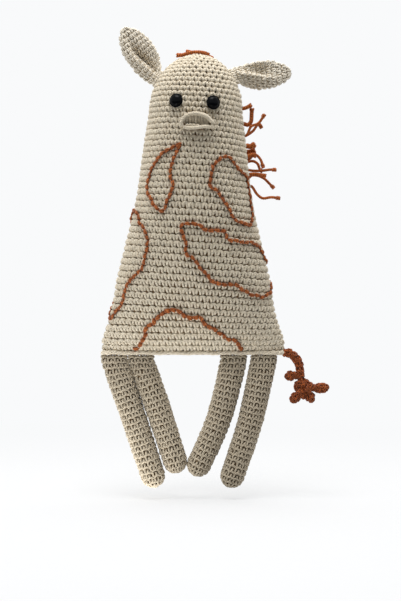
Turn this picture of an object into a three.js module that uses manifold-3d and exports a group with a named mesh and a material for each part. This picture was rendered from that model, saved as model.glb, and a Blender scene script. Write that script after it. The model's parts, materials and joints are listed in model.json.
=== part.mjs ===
// A crochet giraffe soft toy. One bag of single crochet makes the body and the head, closed by a
// seam along the bottom. Four stuffed legs hang from the seam, and the ears, muzzle, eyes, mane,
// tail and patch outlines are fixed to the bag.
// Millimetres, +Z up, the face towards -Y, and the origin on the flat of the back.
import * as THREE from "three";
import Module from "manifold-3d";

const wasm = await Module();
wasm.setup();

// Fits
const clearance = 0.3; // left between neighbouring pieces
const fabric = 3; // thickness of the crochet
const backFlat = 1.5; // depth of the flat that the back rests on

// Body and head: height above the hem, full width and full depth at each girth
const hemWidth = 138.5;
const hemDepth = 9;
const foldHeight = 9;
const foldWidth = 136;
const foldDepth = 23;
const hipHeight = 24;
const hipWidth = 126;
const hipDepth = 38;
const bellyHeight = 56;
const bellyWidth = 114;
const bellyDepth = 53;
const chestHeight = 110;
const chestWidth = 88.5;
const chestDepth = 65;
const neckHeight = 150;
const neckWidth = 78;
const neckDepth = 64;
const browHeight = 178;
const browWidth = 70.5;
const browDepth = 62.5;
const crownHeight = 222;
const crownOffset = 3; // sideways at the crown
const rowCount = 44; // crochet rows from hem to crown
const seamHeight = 3; // roll of stitches that closes the hem
const stuffingFoot = 9; // height where the filling stops above the hem

// Legs
const legTopWidth = 19.2; // pinched flat into the seam
const legTopDepth = 8;
const legFlare = 20; // length over which a leg fills out
const legWidth = 19.4;
const toeWidth = 17.6;

// Where each leg leaves the seam, bends and ends, across from the middle of the hem, and its drop
const frontOuterHip = -59;
const frontOuterKnee = -43;
const frontOuterToe = -27.2;
const frontOuterDrop = 102.5;
const frontInnerHip = -39;
const frontInnerKnee = -24.2;
const frontInnerToe = -10.8;
const frontInnerDrop = 91.5;
const hindInnerHip = 30.5;
const hindInnerKnee = 19.6;
const hindInnerToe = 0.9;
const hindInnerDrop = 93.5;
const hindOuterHip = 53;
const hindOuterKnee = 42.4;
const hindOuterToe = 26.6;
const hindOuterDrop = 102.5;
const legs = [
  ["front_leg_outer", frontOuterHip, frontOuterKnee, frontOuterToe, frontOuterDrop],
  ["front_leg_inner", frontInnerHip, frontInnerKnee, frontInnerToe, frontInnerDrop],
  ["hind_leg_inner", hindInnerHip, hindInnerKnee, hindInnerToe, hindInnerDrop],
  ["hind_leg_outer", hindOuterHip, hindOuterKnee, hindOuterToe, hindOuterDrop],
].map(([name, hip, knee, toe, drop]) => ({ name, hip, knee, toe, drop }));

// Ears
const earDrop = 18; // from the crown down to the line where the ears are sewn on
const earBase = 13.5;
const earThickness = 4;
const earCup = 5.5;
const earTaper = 0.55; // power of the leaf's outline, lower for a blunter tip
const leftEarLength = 44;
const leftEarWidth = 24;
const leftEarLean = 24; // degrees away from square to the head
const rightEarLength = 41;
const rightEarWidth = 21.5;
const rightEarLean = 26;

// Eyes, of the kind that is pushed through the fabric and locked by a washer behind it
const eyeRise = 15.2; // from the middle of the muzzle up to the eyes
const eyeTilt = 0.75; // left eye above that height and right eye below it
const eyeAngle = 22; // degrees either side of the middle between the eyes
const eyeMiddle = -1.2; // degrees round from the front
const eyeDiameter = 9.6;
const eyeDome = 3.6;
const eyeFlange = 0.7;
const postDiameter = 4;
const postLength = 9.5;
const washerDiameter = 11;
const washerThickness = 1.6;

// Muzzle
const muzzleDrop = 54.9; // from the crown down to the middle of the muzzle
const muzzleTurn = 2.4; // degrees round from the front
const muzzleWidth = 22.5;
const muzzleRise = 13.5; // from chin to nose
const muzzleRim = 5.5; // how far the lips stand out
const mouthDepth = 3;

// Yarn worked on the outside
const outlineDiameter = 2.2;
const outlineStep = 5;
const strandDiameter = 2.2;
const knotDiameter = 3.6;

// Tail
const tailDiameter = 5.8;
const tailKnotDiameter = 12;
const curlDiameter = 5;
const curlTipDiameter = 6.8;

// Each patch outline, in degrees round from the face's middle and crochet rows up from the hem
const outlines = [
  {
    name: "crescent_patch_outline",
    closed: true,
    points: [
      [-15, 30], [-26, 29.3], [-40, 28.3], [-49, 26.8], [-54, 24], [-46, 22.2], [-34, 20.5],
      [-28, 20.5], [-25, 22.1], [-21, 24], [-25, 25.8], [-22, 27.9],
    ],
  },
  {
    name: "shoulder_patch_outline",
    closed: true,
    points: [
      [20, 27], [35, 28.3], [46, 27.4], [54, 26.4], [66, 25.8], [72, 24.2], [71, 21.8], [69, 19.8],
      [61, 18.6], [50, 18.6], [40, 19.2], [34, 20.8], [24, 23.1], [16, 24], [18, 25.2],
    ],
  },
  {
    name: "flank_patch_outline",
    closed: true,
    points: [
      [-11, 17.8], [-8, 18.4], [5, 18.2], [9, 17.6], [27, 17.4], [30, 16.3], [42, 16], [60, 15.8],
      [70, 15.1], [80, 13.8], [98, 13.1], [122, 12], [112, 10.6], [90, 9.8], [80, 9], [63, 8.1],
      [50, 8.1], [40, 8.7], [32, 9.6], [17, 9.8], [10, 11.1], [0, 13.4], [-6, 14.3], [-5, 15.5],
    ],
  },
  {
    name: "chest_patch_outline",
    closed: true,
    points: [
      [-92, 20], [-80, 20.7], [-67, 20.3], [-58, 19], [-48, 17.8], [-41, 16.3], [-41, 14.1],
      [-42, 12.1], [-50, 10.9], [-58, 9.4], [-60, 7.1], [-67, 5.7], [-76, 4.8], [-90, 5.7], [-112, 8.4],
      [-124, 12.2], [-118, 16.6],
    ],
  },
  {
    name: "hem_patch_arch",
    closed: false,
    points: [
      [-41, 0.5], [-34, 1], [-31, 3.4], [-25, 5.1], [-14, 6.2], [-5, 5.4], [3, 4.8], [13, 3],
      [20, 2.1], [26, 1.6], [33, 0.5],
    ],
  },
];

// Each mane strand down the back of the neck: where it is knotted on, in degrees and rows, then
// its bends, outwards and upwards from there
const neckMane = [
  { at: [98, 36.07], bends: [[2.2, 0.7], [5.5, 2.4]] },
  { at: [103, 33.79], bends: [[2.8, -0.7], [5, 1.5], [5, 7.5]] },
  { at: [97, 32.01], bends: [[3.5, 6.8], [8.8, 9], [13.5, 15.8]] },
  { at: [104, 32.01], bends: [[5.8, 3.8], [10.3, 9.5], [12.4, 6]] },
  { at: [97, 30.42], bends: [[2, -0.5], [5, 1.2]] },
  { at: [106, 29.63], bends: [[2.5, 0], [6, 1.2]] },
  { at: [96, 28.94], bends: [[2.5, 0.8], [5, 0.3]] },
  { at: [102, 28.44], bends: [[5, 3.8], [8.8, 0.8], [11.5, -6]] },
  { at: [114, 28.14], bends: [[6.5, 1.1], [10, -1.1], [11.5, -4.9], [13.5, -7]] },
  { at: [103, 26.88], bends: [[2.8, -0.4], [9.5, -0.4], [15.5, 0.4], [20.5, 0.4]] },
  { at: [96, 26.22], bends: [[4.3, 0], [11.2, -1.3]] },
  { at: [112, 25.57], bends: [[3.5, 3], [8, 3], [13, 0.8], [17, -3], [20.5, -6.5]] },
  { at: [100, 24.44], bends: [[4.3, -6], [8.4, -9], [14.8, -8.3], [21.5, -9]] },
];

// Strands of the mane behind the right ear, bending outwards and upwards in the same way
const napeMane = [
  { at: [128, 38.05], bends: [[3.5, 0.5], [6, -2], [7, -6]] },
  { at: [136, 40.43], bends: [[4, 1.5], [7.5, 0], [9, -4]] },
  { at: [150, 42.02], bends: [[4.5, 2.5], [9, 2], [12, -1.5]] },
];

// Strands lying over the crown, as places across and behind its middle
const crownMane = [
  [[7, -5], [2, -4], [-5, -3.5], [-11, -4], [-15, -4.5]],
  [[9, 0], [4, -0.5], [-2, 0.5], [-8, 0]],
  [[12, 5], [7, 4.5], [1, 5], [-4, 5]],
];

// The tail's path and its curls, across and up from where it leaves the seam
const tailPath = [[0, 0], [2.4, -0.3], [5.2, -1.8], [8.6, -5.8], [10.6, -11.5], [10.9, -16.5]];
const tailKnotAt = [13.2, -26.7];
const curls = [
  { name: "tail_curl_side", from: "cord", points: [[4.2, -17.2], [0, -18.5]] },
  { name: "tail_curl_outer", from: "knot", points: [[22.5, -26.6], [27, -26.4], [31.8, -26.2]] },
  { name: "tail_curl_inner", from: "knot", points: [[7.2, -33.7], [4.4, -36.9]] },
  { name: "tail_curl_lower", from: "knot", points: [[17.4, -32.3], [20.5, -36.4]] },
];

// Facets
const bodySegments = 36;
const legSegments = 16;
const turnSegments = 20;
const earSides = 12;
const cordSides = 6;
const outlineSides = 5;

const creamYarn = new THREE.MeshStandardMaterial({ color: "#cdc0a6", roughness: 0.95 });
const rustYarn = new THREE.MeshStandardMaterial({ color: "#8a4a26", roughness: 0.95 });
const eyePlastic = new THREE.MeshStandardMaterial({ color: "#15161a", roughness: 0.12 });
const washerPlastic = new THREE.MeshStandardMaterial({ color: "#e9e7e0", roughness: 0.5 });
const fibreFill = new THREE.MeshStandardMaterial({ color: "#f1efe8", roughness: 1 });

const radians = THREE.MathUtils.degToRad;
const mix = THREE.MathUtils.lerp;
const rise = THREE.MathUtils.smoothstep;
const place = (x, y, z) => new THREE.Vector3(x, y, z);

// Skin over a row of closed rings. A ring of one point closes an end, and a looped row joins up.
function loft(rings, looped = false) {
  const rows = looped ? rings.concat([rings[0]]) : rings;
  const points = rings.flat();
  const starts = [0];
  for (const ring of rings) {
    starts.push(starts.at(-1) + ring.length);
  }
  const faces = [];
  for (let row = 0; row + 1 < rows.length; row += 1) {
    const here = rows[row].length;
    const next = rows[row + 1].length;
    const from = starts[row];
    const to = starts[(row + 1) % rings.length];
    for (let k = 0; k < Math.max(here, next); k += 1) {
      if (here > 1) {
        faces.push(from + (k % here), from + ((k + 1) % here), to + (k % next));
      }
      if (next > 1) {
        faces.push(from + ((k + 1) % here), to + ((k + 1) % next), to + (k % next));
      }
    }
  }
  let volume = 0;
  for (let k = 0; k < faces.length; k += 3) {
    const [a, b, c] = faces.slice(k, k + 3).map((index) => points[index]);
    volume += a.dot(place(0, 0, 0).crossVectors(b, c));
  }
  if (volume < 0) {
    faces.reverse();
  }
  const geometry = new THREE.BufferGeometry();
  const flat = points.flatMap((point) => point.toArray());
  geometry.setAttribute("position", new THREE.Float32BufferAttribute(flat, 3));
  geometry.setIndex(faces);
  return geometry;
}

function solidOf(geometry) {
  const vertProperties = new Float32Array(geometry.attributes.position.array);
  const triVerts = new Uint32Array(geometry.index.array);
  return new wasm.Manifold(new wasm.Mesh({ numProp: 3, vertProperties, triVerts }));
}

function geometryOf(solid) {
  const mesh = solid.getMesh();
  const geometry = new THREE.BufferGeometry();
  geometry.setAttribute("position", new THREE.Float32BufferAttribute(mesh.vertProperties, 3));
  geometry.setIndex([...mesh.triVerts]);
  return geometry;
}

// Ring of points round a centre, in the plane of two directions
function ringAround(centre, across, deep, acrossRadius, deepRadius, count) {
  return Array.from({ length: count }, (_, k) => {
    const turn = (2 * Math.PI * k) / count;
    return centre.clone()
      .addScaledVector(across, acrossRadius * Math.cos(turn))
      .addScaledVector(deep, deepRadius * Math.sin(turn));
  });
}

// Body of revolution about Z from points of radius and height. Off the axis it closes on itself.
function turned(profile, looped = false) {
  const rings = profile.map(([radius, height]) => {
    if (radius === 0) {
      return [place(0, 0, height)];
    }
    return ringAround(place(0, 0, height), place(1, 0, 0), place(0, 1, 0), radius, radius, turnSegments);
  });
  return loft(rings, looped);
}

// Round cord along a curve, from a square end to a knot or a round tip
function cord(curve, diameter, tipDiameter, steps) {
  const length = curve.getLength();
  const tip = Math.min(tipDiameter / 2, 0.45 * length); // leaves a neck on a short curl
  const stations = [];
  for (let k = 0; k <= steps; k += 1) {
    stations.push([((length - 2 * tip) * k) / steps, diameter / 2]);
  }
  for (const turn of [-35, 10, 55]) {
    stations.push([length - tip + tip * Math.sin(radians(turn)), tip * Math.cos(radians(turn))]);
  }
  let side = place(0.2, 1, 0.1);
  const rings = stations.map(([distance, radius]) => {
    const along = curve.getTangentAt(distance / length);
    side = side.clone().addScaledVector(along, -side.dot(along)).normalize();
    const other = place(0, 0, 0).crossVectors(along, side);
    return ringAround(curve.getPointAt(distance / length), side, other, radius, radius, cordSides);
  });
  return loft([[curve.getPointAt(0)], ...rings, [curve.getPointAt(1)]]);
}

// The bag: its girths below the brow, and a dome above it
const girths = new THREE.CubicInterpolant(
  [0, foldHeight, hipHeight, bellyHeight, chestHeight, neckHeight, browHeight],
  [
    hemWidth, hemDepth, foldWidth, foldDepth, hipWidth, hipDepth, bellyWidth, bellyDepth,
    chestWidth, chestDepth, neckWidth, neckDepth, browWidth, browDepth,
  ],
  2,
);
const backPlane = chestDepth / 2 - backFlat;
const rowHeight = crownHeight / rowCount;
const earHeight = crownHeight - earDrop;
const muzzleHeight = crownHeight - muzzleDrop;
const eyeHeight = muzzleHeight + eyeRise;

// Half width and half depth at a height, on a surface so far outside the bag
function halfGirth(height, outward) {
  if (height <= browHeight) {
    const [width, depth] = girths.evaluate(Math.max(height, 0));
    return [width / 2 + outward, depth / 2 + outward];
  }
  const share = (height - browHeight) / (crownHeight + outward - browHeight);
  const drawn = Math.sqrt(Math.max(0, 1 - share ** 2));
  return [(browWidth / 2 + outward) * drawn, (browDepth / 2 + outward) * drawn];
}

const leanAt = (height) => crownOffset * (height / crownHeight) ** 2;

// Point on the bag, by the angle round from the face's middle towards +X
function bagPoint(degrees, height, outward = 0) {
  const [across, deep] = halfGirth(height, outward);
  const x = leanAt(height) + across * Math.sin(radians(degrees));
  const y = Math.min(-deep * Math.cos(radians(degrees)), backPlane + outward);
  return place(x, y, height);
}

function bagNormal(degrees, height) {
  const round = bagPoint(degrees + 0.5, height).sub(bagPoint(degrees - 0.5, height));
  const up = bagPoint(degrees, height + 0.5).sub(bagPoint(degrees, height - 0.5));
  return round.cross(up).normalize();
}

function bagRing(height, outward, segments) {
  return Array.from({ length: segments }, (_, k) => bagPoint((360 * k) / segments, height, outward));
}

// Rings from the crown down to a foot, closer together towards the hem
function bagRings(outward, foot, domeSteps, bagSteps, segments) {
  const crown = crownHeight + outward;
  const rings = [[place(leanAt(crown), 0, crown)]];
  for (let k = 1; k <= domeSteps; k += 1) {
    const up = Math.cos((Math.PI / 2) * (k / domeSteps));
    rings.push(bagRing(browHeight + (crown - browHeight) * up, outward, segments));
  }
  for (let k = 1; k <= bagSteps; k += 1) {
    const down = (1 - k / bagSteps) ** 1.25;
    rings.push(bagRing(foot + (browHeight - foot) * down, outward, segments));
  }
  return rings;
}

const giraffe = new THREE.Group();
const bench = new THREE.Group(); // measured from the middle of the hem
bench.position.set(0, -backPlane, -chestHeight);
giraffe.add(bench);

function add(name, geometry, material) {
  const mesh = new THREE.Mesh(geometry, material);
  mesh.name = name;
  bench.add(mesh);
}

// Eyes: dome, flange and post, with the washer locked on the post behind the fabric
const eyeTurns = [];
for (const [side, sign] of [["left", -1], ["right", 1]]) {
  const height = eyeHeight - sign * eyeTilt;
  const angle = eyeMiddle + sign * eyeAngle;
  const normal = bagNormal(angle, height);
  const turn = new THREE.Matrix4().makeRotationFromQuaternion(
    new THREE.Quaternion().setFromUnitVectors(place(0, 0, 1), normal),
  );
  turn.setPosition(bagPoint(angle, height));
  eyeTurns.push(turn);
  const radius = eyeDiameter / 2;
  const dome = [20, 40, 60, 75].map((up) => [
    radius * Math.cos(radians(up)), clearance + eyeFlange + eyeDome * Math.sin(radians(up)),
  ]);
  const eye = turned([
    [0, -postLength], [postDiameter / 2, -postLength], [postDiameter / 2, clearance],
    [radius, clearance], [radius, clearance + eyeFlange], ...dome,
    [0, clearance + eyeFlange + eyeDome],
  ]);
  add(`${side}_eye`, eye.applyMatrix4(turn), eyePlastic);
  const bore = postDiameter / 2 + clearance;
  const hollow = washerDiameter ** 2 / (2 * browDepth); // how far the curved fabric dips behind it
  const top = -fabric - clearance - hollow;
  const bottom = top - washerThickness;
  const rim = washerDiameter / 2;
  const washer = turned([[bore, bottom], [rim, bottom], [rim, top], [bore, top]], true);
  add(`${side}_eye_washer`, washer.applyMatrix4(turn), washerPlastic);
}

// Body cover, open along the hem, and its filling
function eyeCut(radius, from, to) {
  return eyeTurns.map((turn) => {
    const pin = turned([[0, from], [radius, from], [radius, to], [0, to]]);
    return solidOf(pin.applyMatrix4(turn));
  });
}

const outer = bagRings(0, 0, 7, 16, bodySegments);
const inner = bagRings(-fabric, stuffingFoot, 7, 9, bodySegments);
inner.push(bagRing(0, -fabric, bodySegments));
let cover = solidOf(loft([...inner, ...outer.reverse()]));
for (const hole of eyeCut(postDiameter / 2 + clearance, -2 * fabric, fabric)) {
  cover = cover.subtract(hole);
}
add("body_cover", geometryOf(cover), creamYarn);

const fillRings = bagRings(-fabric - clearance, stuffingFoot, 7, 9, bodySegments);
let filling = solidOf(loft([...fillRings, [place(0, 0, stuffingFoot)]]));
for (const pocket of eyeCut(washerDiameter / 2 + 2 * clearance, -postLength - clearance, fabric)) {
  filling = filling.subtract(pocket);
}
add("body_stuffing", geometryOf(filling), fibreFill);

// Bottom seam: the roll of stitches that closes the hem
const seam = new THREE.Shape();
const seamEnd = (hemWidth - hemDepth) / 2;
seam.absarc(seamEnd, 0, hemDepth / 2, -Math.PI / 2, Math.PI / 2);
seam.absarc(-seamEnd, 0, hemDepth / 2, Math.PI / 2, (3 * Math.PI) / 2);
const seamRoll = new THREE.ExtrudeGeometry(seam, {
  depth: seamHeight,
  bevelEnabled: false,
  curveSegments: 6,
});
seamRoll.translate(0, 0, -clearance - seamHeight);
add("bottom_seam", seamRoll, creamYarn);

// Legs: each hinges on the seam about its pinched, rounded top edge
const pinch = legTopDepth / 2;
const hingeHeight = -clearance - seamHeight - clearance - pinch;

// Rings from the toe up to the pinched top, on a surface so far inside the leg
function legRings(leg, inset, steps, segments, turns) {
  const curve = new THREE.CatmullRomCurve3([
    place(leg.hip, 0, hingeHeight),
    place(leg.knee, 0, (hingeHeight - leg.drop) / 2),
    place(leg.toe, 0, -leg.drop),
  ]);
  const length = curve.getLength();
  const ball = toeWidth / 2;
  const ringAt = (distance, shift, squeeze) => {
    const down = curve.getTangentAt(distance / length);
    const full = rise(distance, 0, legFlare);
    const across = place(-down.z, 0, down.x).lerp(place(1, 0, 0), 1 - full).normalize();
    const girth = mix(legWidth, toeWidth, distance / length) / 2;
    const past = Math.max(0, (distance - (length - ball)) / (ball - inset));
    const round = Math.sqrt(Math.max(0, 1 - past ** 2));
    const halfWidth = (mix(legTopWidth / 2, girth, full) - inset) * round;
    const halfDepth = (mix(pinch, girth, full) - inset) * round * squeeze;
    const centre = curve.getPointAt(distance / length);
    centre.z += shift;
    return ringAround(centre, across, place(0, 1, 0), halfWidth, halfDepth, segments);
  };
  const rings = [[curve.getPointAt(1 - inset / length)]];
  for (const past of [65, 35]) {
    rings.push(ringAt(length - ball + (ball - inset) * Math.sin(radians(past)), 0, 1));
  }
  for (let k = 0; k <= steps; k += 1) {
    rings.push(ringAt((length - ball) * (1 - k / steps) ** 1.2, 0, 1));
  }
  for (const turn of turns) {
    rings.push(ringAt(0, pinch * Math.sin(radians(turn)), Math.cos(radians(turn))));
  }
  return rings;
}

for (const leg of legs) {
  const skin = legRings(leg, 0, 9, legSegments, [35, 62]);
  const lining = legRings(leg, fabric, 5, legSegments, [62]);
  add(`${leg.name}_cover`, loft([...lining, ...skin.reverse()]), creamYarn);
  const fill = legRings(leg, fabric + clearance, 5, legSegments, []);
  add(`${leg.name}_stuffing`, loft([...fill, [place(leg.hip, 0, hingeHeight)]]), fibreFill);
}

// Ears: cupped leaves that fold on their straight base, tangent to the head
for (const [side, sign, length, width, leanDegrees] of [
  ["left", -1, leftEarLength, leftEarWidth, leftEarLean],
  ["right", 1, rightEarLength, rightEarWidth, rightEarLean],
]) {
  const normal = bagNormal(90 * sign, earHeight);
  const half = earThickness / 2;
  const lean = radians(leanDegrees);
  const out = place(Math.cos(lean), 0, -Math.sin(lean));
  const square = place(Math.sin(lean), 0, Math.cos(lean));
  const deep = place(0, 1, 0);
  const rings = [[place(-half, 0, 0)]];
  for (const turn of [55, 25]) {
    const back = place(-half * Math.sin(radians(turn)), 0, 0);
    const thin = half * Math.cos(radians(turn));
    rings.push(ringAround(back, place(0, 0, 1), deep, earBase / 2 - half + thin, thin, earSides));
  }
  for (const share of [0, 0.08, 0.18, 0.32, 0.48, 0.64, 0.78, 0.89, 0.96]) {
    const middle = out.clone().multiplyScalar(share * length);
    const across = place(0, 0, 1).lerp(square, Math.min(1, 3 * share)).normalize();
    const leaf = Math.sin(Math.PI * share) ** earTaper;
    const halfWidth = mix(mix(earBase, 0, share), width, leaf) / 2;
    const thick = half * Math.sqrt(1 - share ** 6);
    const ring = ringAround(middle, across, deep, halfWidth, thick, earSides);
    rings.push(ring.map((point, k) => {
      const edge = Math.cos((2 * Math.PI * k) / earSides);
      return point.addScaledVector(deep, earCup * leaf * (1 - edge ** 2));
    }));
  }
  rings.push([out.clone().multiplyScalar(length)]);
  const ear = loft(rings);
  ear.rotateY(-Math.atan2(normal.z, normal.x));
  const hinge = bagPoint(90 * sign, earHeight, clearance + half);
  add(`${side}_ear`, ear.translate(hinge.x, hinge.y, hinge.z), creamYarn);
}

// Muzzle: an oval with rolled lips round a slit mouth, hollowed to the head behind
const muzzleFace = bagPoint(muzzleTurn, muzzleHeight);
const muzzleRings = [];
for (const share of [0, 0.3, 0.55, 0.75, 0.9, 1]) {
  const count = share === 0 ? 1 : turnSegments;
  const halfWidth = (muzzleWidth / 2) * share;
  const halfRise = (muzzleRise / 2) * share;
  const oval = ringAround(muzzleFace, place(1, 0, 0), place(0, 0, 1), halfWidth, halfRise, count);
  muzzleRings.push(oval.map((point) => {
    const up = (point.z - muzzleFace.z) / (muzzleRise / 2);
    const lip = muzzleRim * Math.sqrt(1 - 0.75 * share ** 4);
    const mouth = mouthDepth * Math.exp(-((up + 0.15) ** 2) / 0.12) * (1 - share ** 2);
    return point.add(place(0, mouth - lip, 0));
  }));
}
const muzzleEnd = muzzleFace.y + 2 * muzzleRim;
const muzzleBack = muzzleRings.at(-1).map((point) => point.clone().setY(muzzleEnd));
const muzzleBlank = loft([...muzzleRings, muzzleBack, [muzzleFace.clone().setY(muzzleEnd)]]);
const headRings = bagRings(clearance, 0, 7, 16, bodySegments);
const headCut = solidOf(loft([[place(0, 0, 0)], ...headRings.reverse()]));
add("muzzle", geometryOf(solidOf(muzzleBlank).subtract(headCut)), creamYarn);

// Patch outlines: yarn chained over the surface of the bag
const roundPerDegree = (Math.PI * chestWidth) / 360;
for (const outline of outlines) {
  const route = new THREE.CatmullRomCurve3(
    outline.points.map(([degrees, row]) => place(degrees * roundPerDegree, row * rowHeight, 0)),
    outline.closed,
  );
  const steps = Math.round(route.getLength() / outlineStep);
  const outward = 1.5 * clearance + outlineDiameter / 2;
  const spotAt = (share) => {
    const along = outline.closed ? (share + 1) % 1 : THREE.MathUtils.clamp(share, 0, 1);
    const spot = route.getPointAt(along);
    return [spot.x / roundPerDegree, spot.y];
  };
  const rings = Array.from({ length: outline.closed ? steps : steps + 1 }, (_, k) => {
    const spot = spotAt(k / steps);
    const before = bagPoint(...spotAt((k - 0.2) / steps), outward);
    const along = bagPoint(...spotAt((k + 0.2) / steps), outward).sub(before).normalize();
    const normal = bagNormal(...spot);
    const across = place(0, 0, 0).crossVectors(along, normal).normalize();
    const centre = bagPoint(...spot, outward);
    return ringAround(centre, across, normal, outlineDiameter / 2, outlineDiameter / 2, outlineSides);
  });
  const ends = [[bagPoint(...spotAt(0), outward)], [bagPoint(...spotAt(1), outward)]];
  const yarn = outline.closed ? loft(rings, true) : loft([ends[0], ...rings, ends[1]]);
  add(outline.name, yarn, rustYarn);
}

// Mane: knotted strands
const strands = [];
for (const strand of [...neckMane, ...napeMane]) {
  const [degrees, row] = strand.at;
  const height = row * rowHeight;
  const normal = bagNormal(degrees, height);
  const foot = bagPoint(degrees, height).addScaledVector(normal, 1.5 * clearance);
  const root = bagPoint(degrees, height).addScaledVector(normal, strandDiameter);
  const out = place(normal.x, normal.y, 0).normalize();
  if (neckMane.includes(strand)) {
    out.set(1, 0, 0);
  }
  const bends = strand.bends.map(([away, up]) => {
    return root.clone().addScaledVector(out, away).add(place(0, 0, up));
  });
  strands.push([foot, root, ...bends]);
}
for (const spots of crownMane) {
  strands.push(spots.map(([x, y], k) => {
    const across = (x / (browWidth / 2)) ** 2 + (y / (browDepth / 2)) ** 2;
    const dome = browHeight + (crownHeight - browHeight) * Math.sqrt(1 - across);
    const lift = k + 1 === spots.length ? knotDiameter : strandDiameter / 2;
    return place(x + crownOffset, y, dome + lift + 2 * clearance);
  }));
}
strands.forEach((points, k) => {
  const curve = new THREE.CatmullRomCurve3(points);
  const steps = Math.max(3, Math.round(curve.getLength() / 4));
  add(`mane_strand_${k + 1}`, cord(curve, strandDiameter, knotDiameter, steps), rustYarn);
});

// Tail: a cord from the end of the seam to a knot, with curls
const tailRoot = place(hemWidth / 2 + clearance, 0, -clearance - seamHeight / 2);
const fromTail = ([across, up]) => tailRoot.clone().add(place(across, 0, up));
const knotAt = fromTail(tailKnotAt);
const knotRadius = tailKnotDiameter / 2;
const knotEdge = (towards) => {
  const way = towards.clone().sub(knotAt).normalize();
  return knotAt.clone().addScaledVector(way, knotRadius + clearance);
};
const tailSpots = tailPath.map(fromTail);
tailSpots.push(knotEdge(tailSpots.at(-1)));
const tailCurve = new THREE.CatmullRomCurve3(tailSpots);
add("tail_cord", cord(tailCurve, tailDiameter, tailDiameter, 12), rustYarn);

const ball = [-60, -30, 0, 30, 60].map((up) => [
  knotRadius * Math.cos(radians(up)), knotRadius * Math.sin(radians(up)),
]);
const knot = turned([[0, -knotRadius], ...ball, [0, knotRadius]]);
add("tail_knot", knot.translate(knotAt.x, knotAt.y, knotAt.z), rustYarn);

for (const curl of curls) {
  const spots = curl.points.map(fromTail);
  const besideCord = tailSpots.at(-2).clone().add(place(-tailDiameter / 2 - clearance / 2, 0, 0));
  const start = curl.from === "knot" ? knotEdge(spots[0]) : besideCord;
  const curve = new THREE.CatmullRomCurve3([start, ...spots]);
  add(curl.name, cord(curve, curlDiameter, curlTipDiameter, 4), rustYarn);
}

export default giraffe;
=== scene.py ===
import functools
import json
import math

import bpy
import numpy as np
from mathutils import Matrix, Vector

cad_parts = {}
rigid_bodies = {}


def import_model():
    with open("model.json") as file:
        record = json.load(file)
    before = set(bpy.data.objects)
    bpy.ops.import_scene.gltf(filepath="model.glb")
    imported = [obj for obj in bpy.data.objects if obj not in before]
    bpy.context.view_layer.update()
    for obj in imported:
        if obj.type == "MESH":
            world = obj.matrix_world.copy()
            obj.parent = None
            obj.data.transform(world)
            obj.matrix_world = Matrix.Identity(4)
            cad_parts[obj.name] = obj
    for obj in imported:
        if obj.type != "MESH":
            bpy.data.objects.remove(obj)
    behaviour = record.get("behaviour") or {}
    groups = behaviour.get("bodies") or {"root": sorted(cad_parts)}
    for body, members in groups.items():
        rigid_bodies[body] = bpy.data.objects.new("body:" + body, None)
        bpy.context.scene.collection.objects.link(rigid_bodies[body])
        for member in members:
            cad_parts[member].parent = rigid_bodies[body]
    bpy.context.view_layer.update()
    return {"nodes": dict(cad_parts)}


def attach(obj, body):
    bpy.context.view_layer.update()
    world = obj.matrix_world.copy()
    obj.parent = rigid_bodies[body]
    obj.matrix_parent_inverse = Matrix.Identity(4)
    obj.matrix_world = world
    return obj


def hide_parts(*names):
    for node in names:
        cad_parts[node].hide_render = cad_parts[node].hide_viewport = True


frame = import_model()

scene = bpy.context.scene
dice = np.random.default_rng(44)  # the hand's uneven tension

# All is in millimetres from the hem's middle, and moves to the frame's origin when a mesh is made
mm = 0.001
backPlane = 31.0
chestHeight = 110.0


def linear(hexText):
    parts = [int(hexText[k:k + 2], 16) / 255 for k in (1, 3, 5)]
    return [c / 12.92 if c <= 0.04045 else ((c + 0.055) / 1.055) ** 2.4 for c in parts] + [1.0]


# Gives the function that adds a node. A link names a socket, or a node for its first output.
def nodesOf(owner):
    owner.use_nodes = True
    tree = owner.node_tree
    tree.nodes.clear()

    def add(kind, settings=None, links=None):
        node = tree.nodes.new("ShaderNode" + kind)
        for name, value in (settings or {}).items():
            if isinstance(name, int) or name in node.inputs:
                node.inputs[name].default_value = value
            else:
                setattr(node, name, value)
        for name, source in (links or {}).items():
            tree.links.new(getattr(source, "outputs", [source])[0], node.inputs[name])
        return node

    return add


def unit(v):
    return v / np.maximum(np.linalg.norm(v, axis=-1, keepdims=True), 1e-9)


def smooth(t):
    t = np.clip(t, 0, 1)
    return t * t * (3 - 2 * t)


def mix(a, b, t):
    return a + (b - a) * t


def fullTurn(count):
    return 2 * np.pi * np.arange(count) / count


def circle(turn, side, up):
    return side * np.cos(turn)[:, None] + up * np.sin(turn)[:, None]


def wayAlong(middle):
    return unit(np.gradient(middle, axis=0))


def runningSum(steps):
    return np.concatenate([[0], np.cumsum(steps)])


def stepsOf(points):
    return np.linalg.norm(np.diff(points, axis=0), axis=1)


def tableAt(at, run, table):
    return np.stack([np.interp(at, run, column) for column in table.T], -1)


# Centripetal curve: points spaced evenly along it, and its length
def route(points, count, closed=False):
    p = np.array(points, float)
    if closed:
        p = np.concatenate([p[-1:], p, p[:2]])
    else:
        p = np.concatenate([[2 * p[0] - p[1]], p, [2 * p[-1] - p[-2]]])
    spans = []
    share = np.linspace(0, 1, 40, endpoint=False)[:, None]
    for a, b, c, d in zip(p, p[1:], p[2:], p[3:]):
        ab, bc, cd = [max(np.linalg.norm(q - r) ** 0.5, 1e-4) for q, r in ((a, b), (b, c), (c, d))]
        start = ((b - a) / ab - (c - a) / (ab + bc) + (c - b) / bc) * bc
        end = ((c - b) / bc - (d - b) / (bc + cd) + (d - c) / cd) * bc
        spans.append(mix(b, c, smooth(share)) + share * (1 - share) * mix(start, -end, share))
    fine = np.concatenate(spans + [p[-2:-1]])
    run = runningSum(stepsOf(fine))
    return tableAt(np.linspace(0, run[-1], count), run, fine), run[-1]


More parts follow.
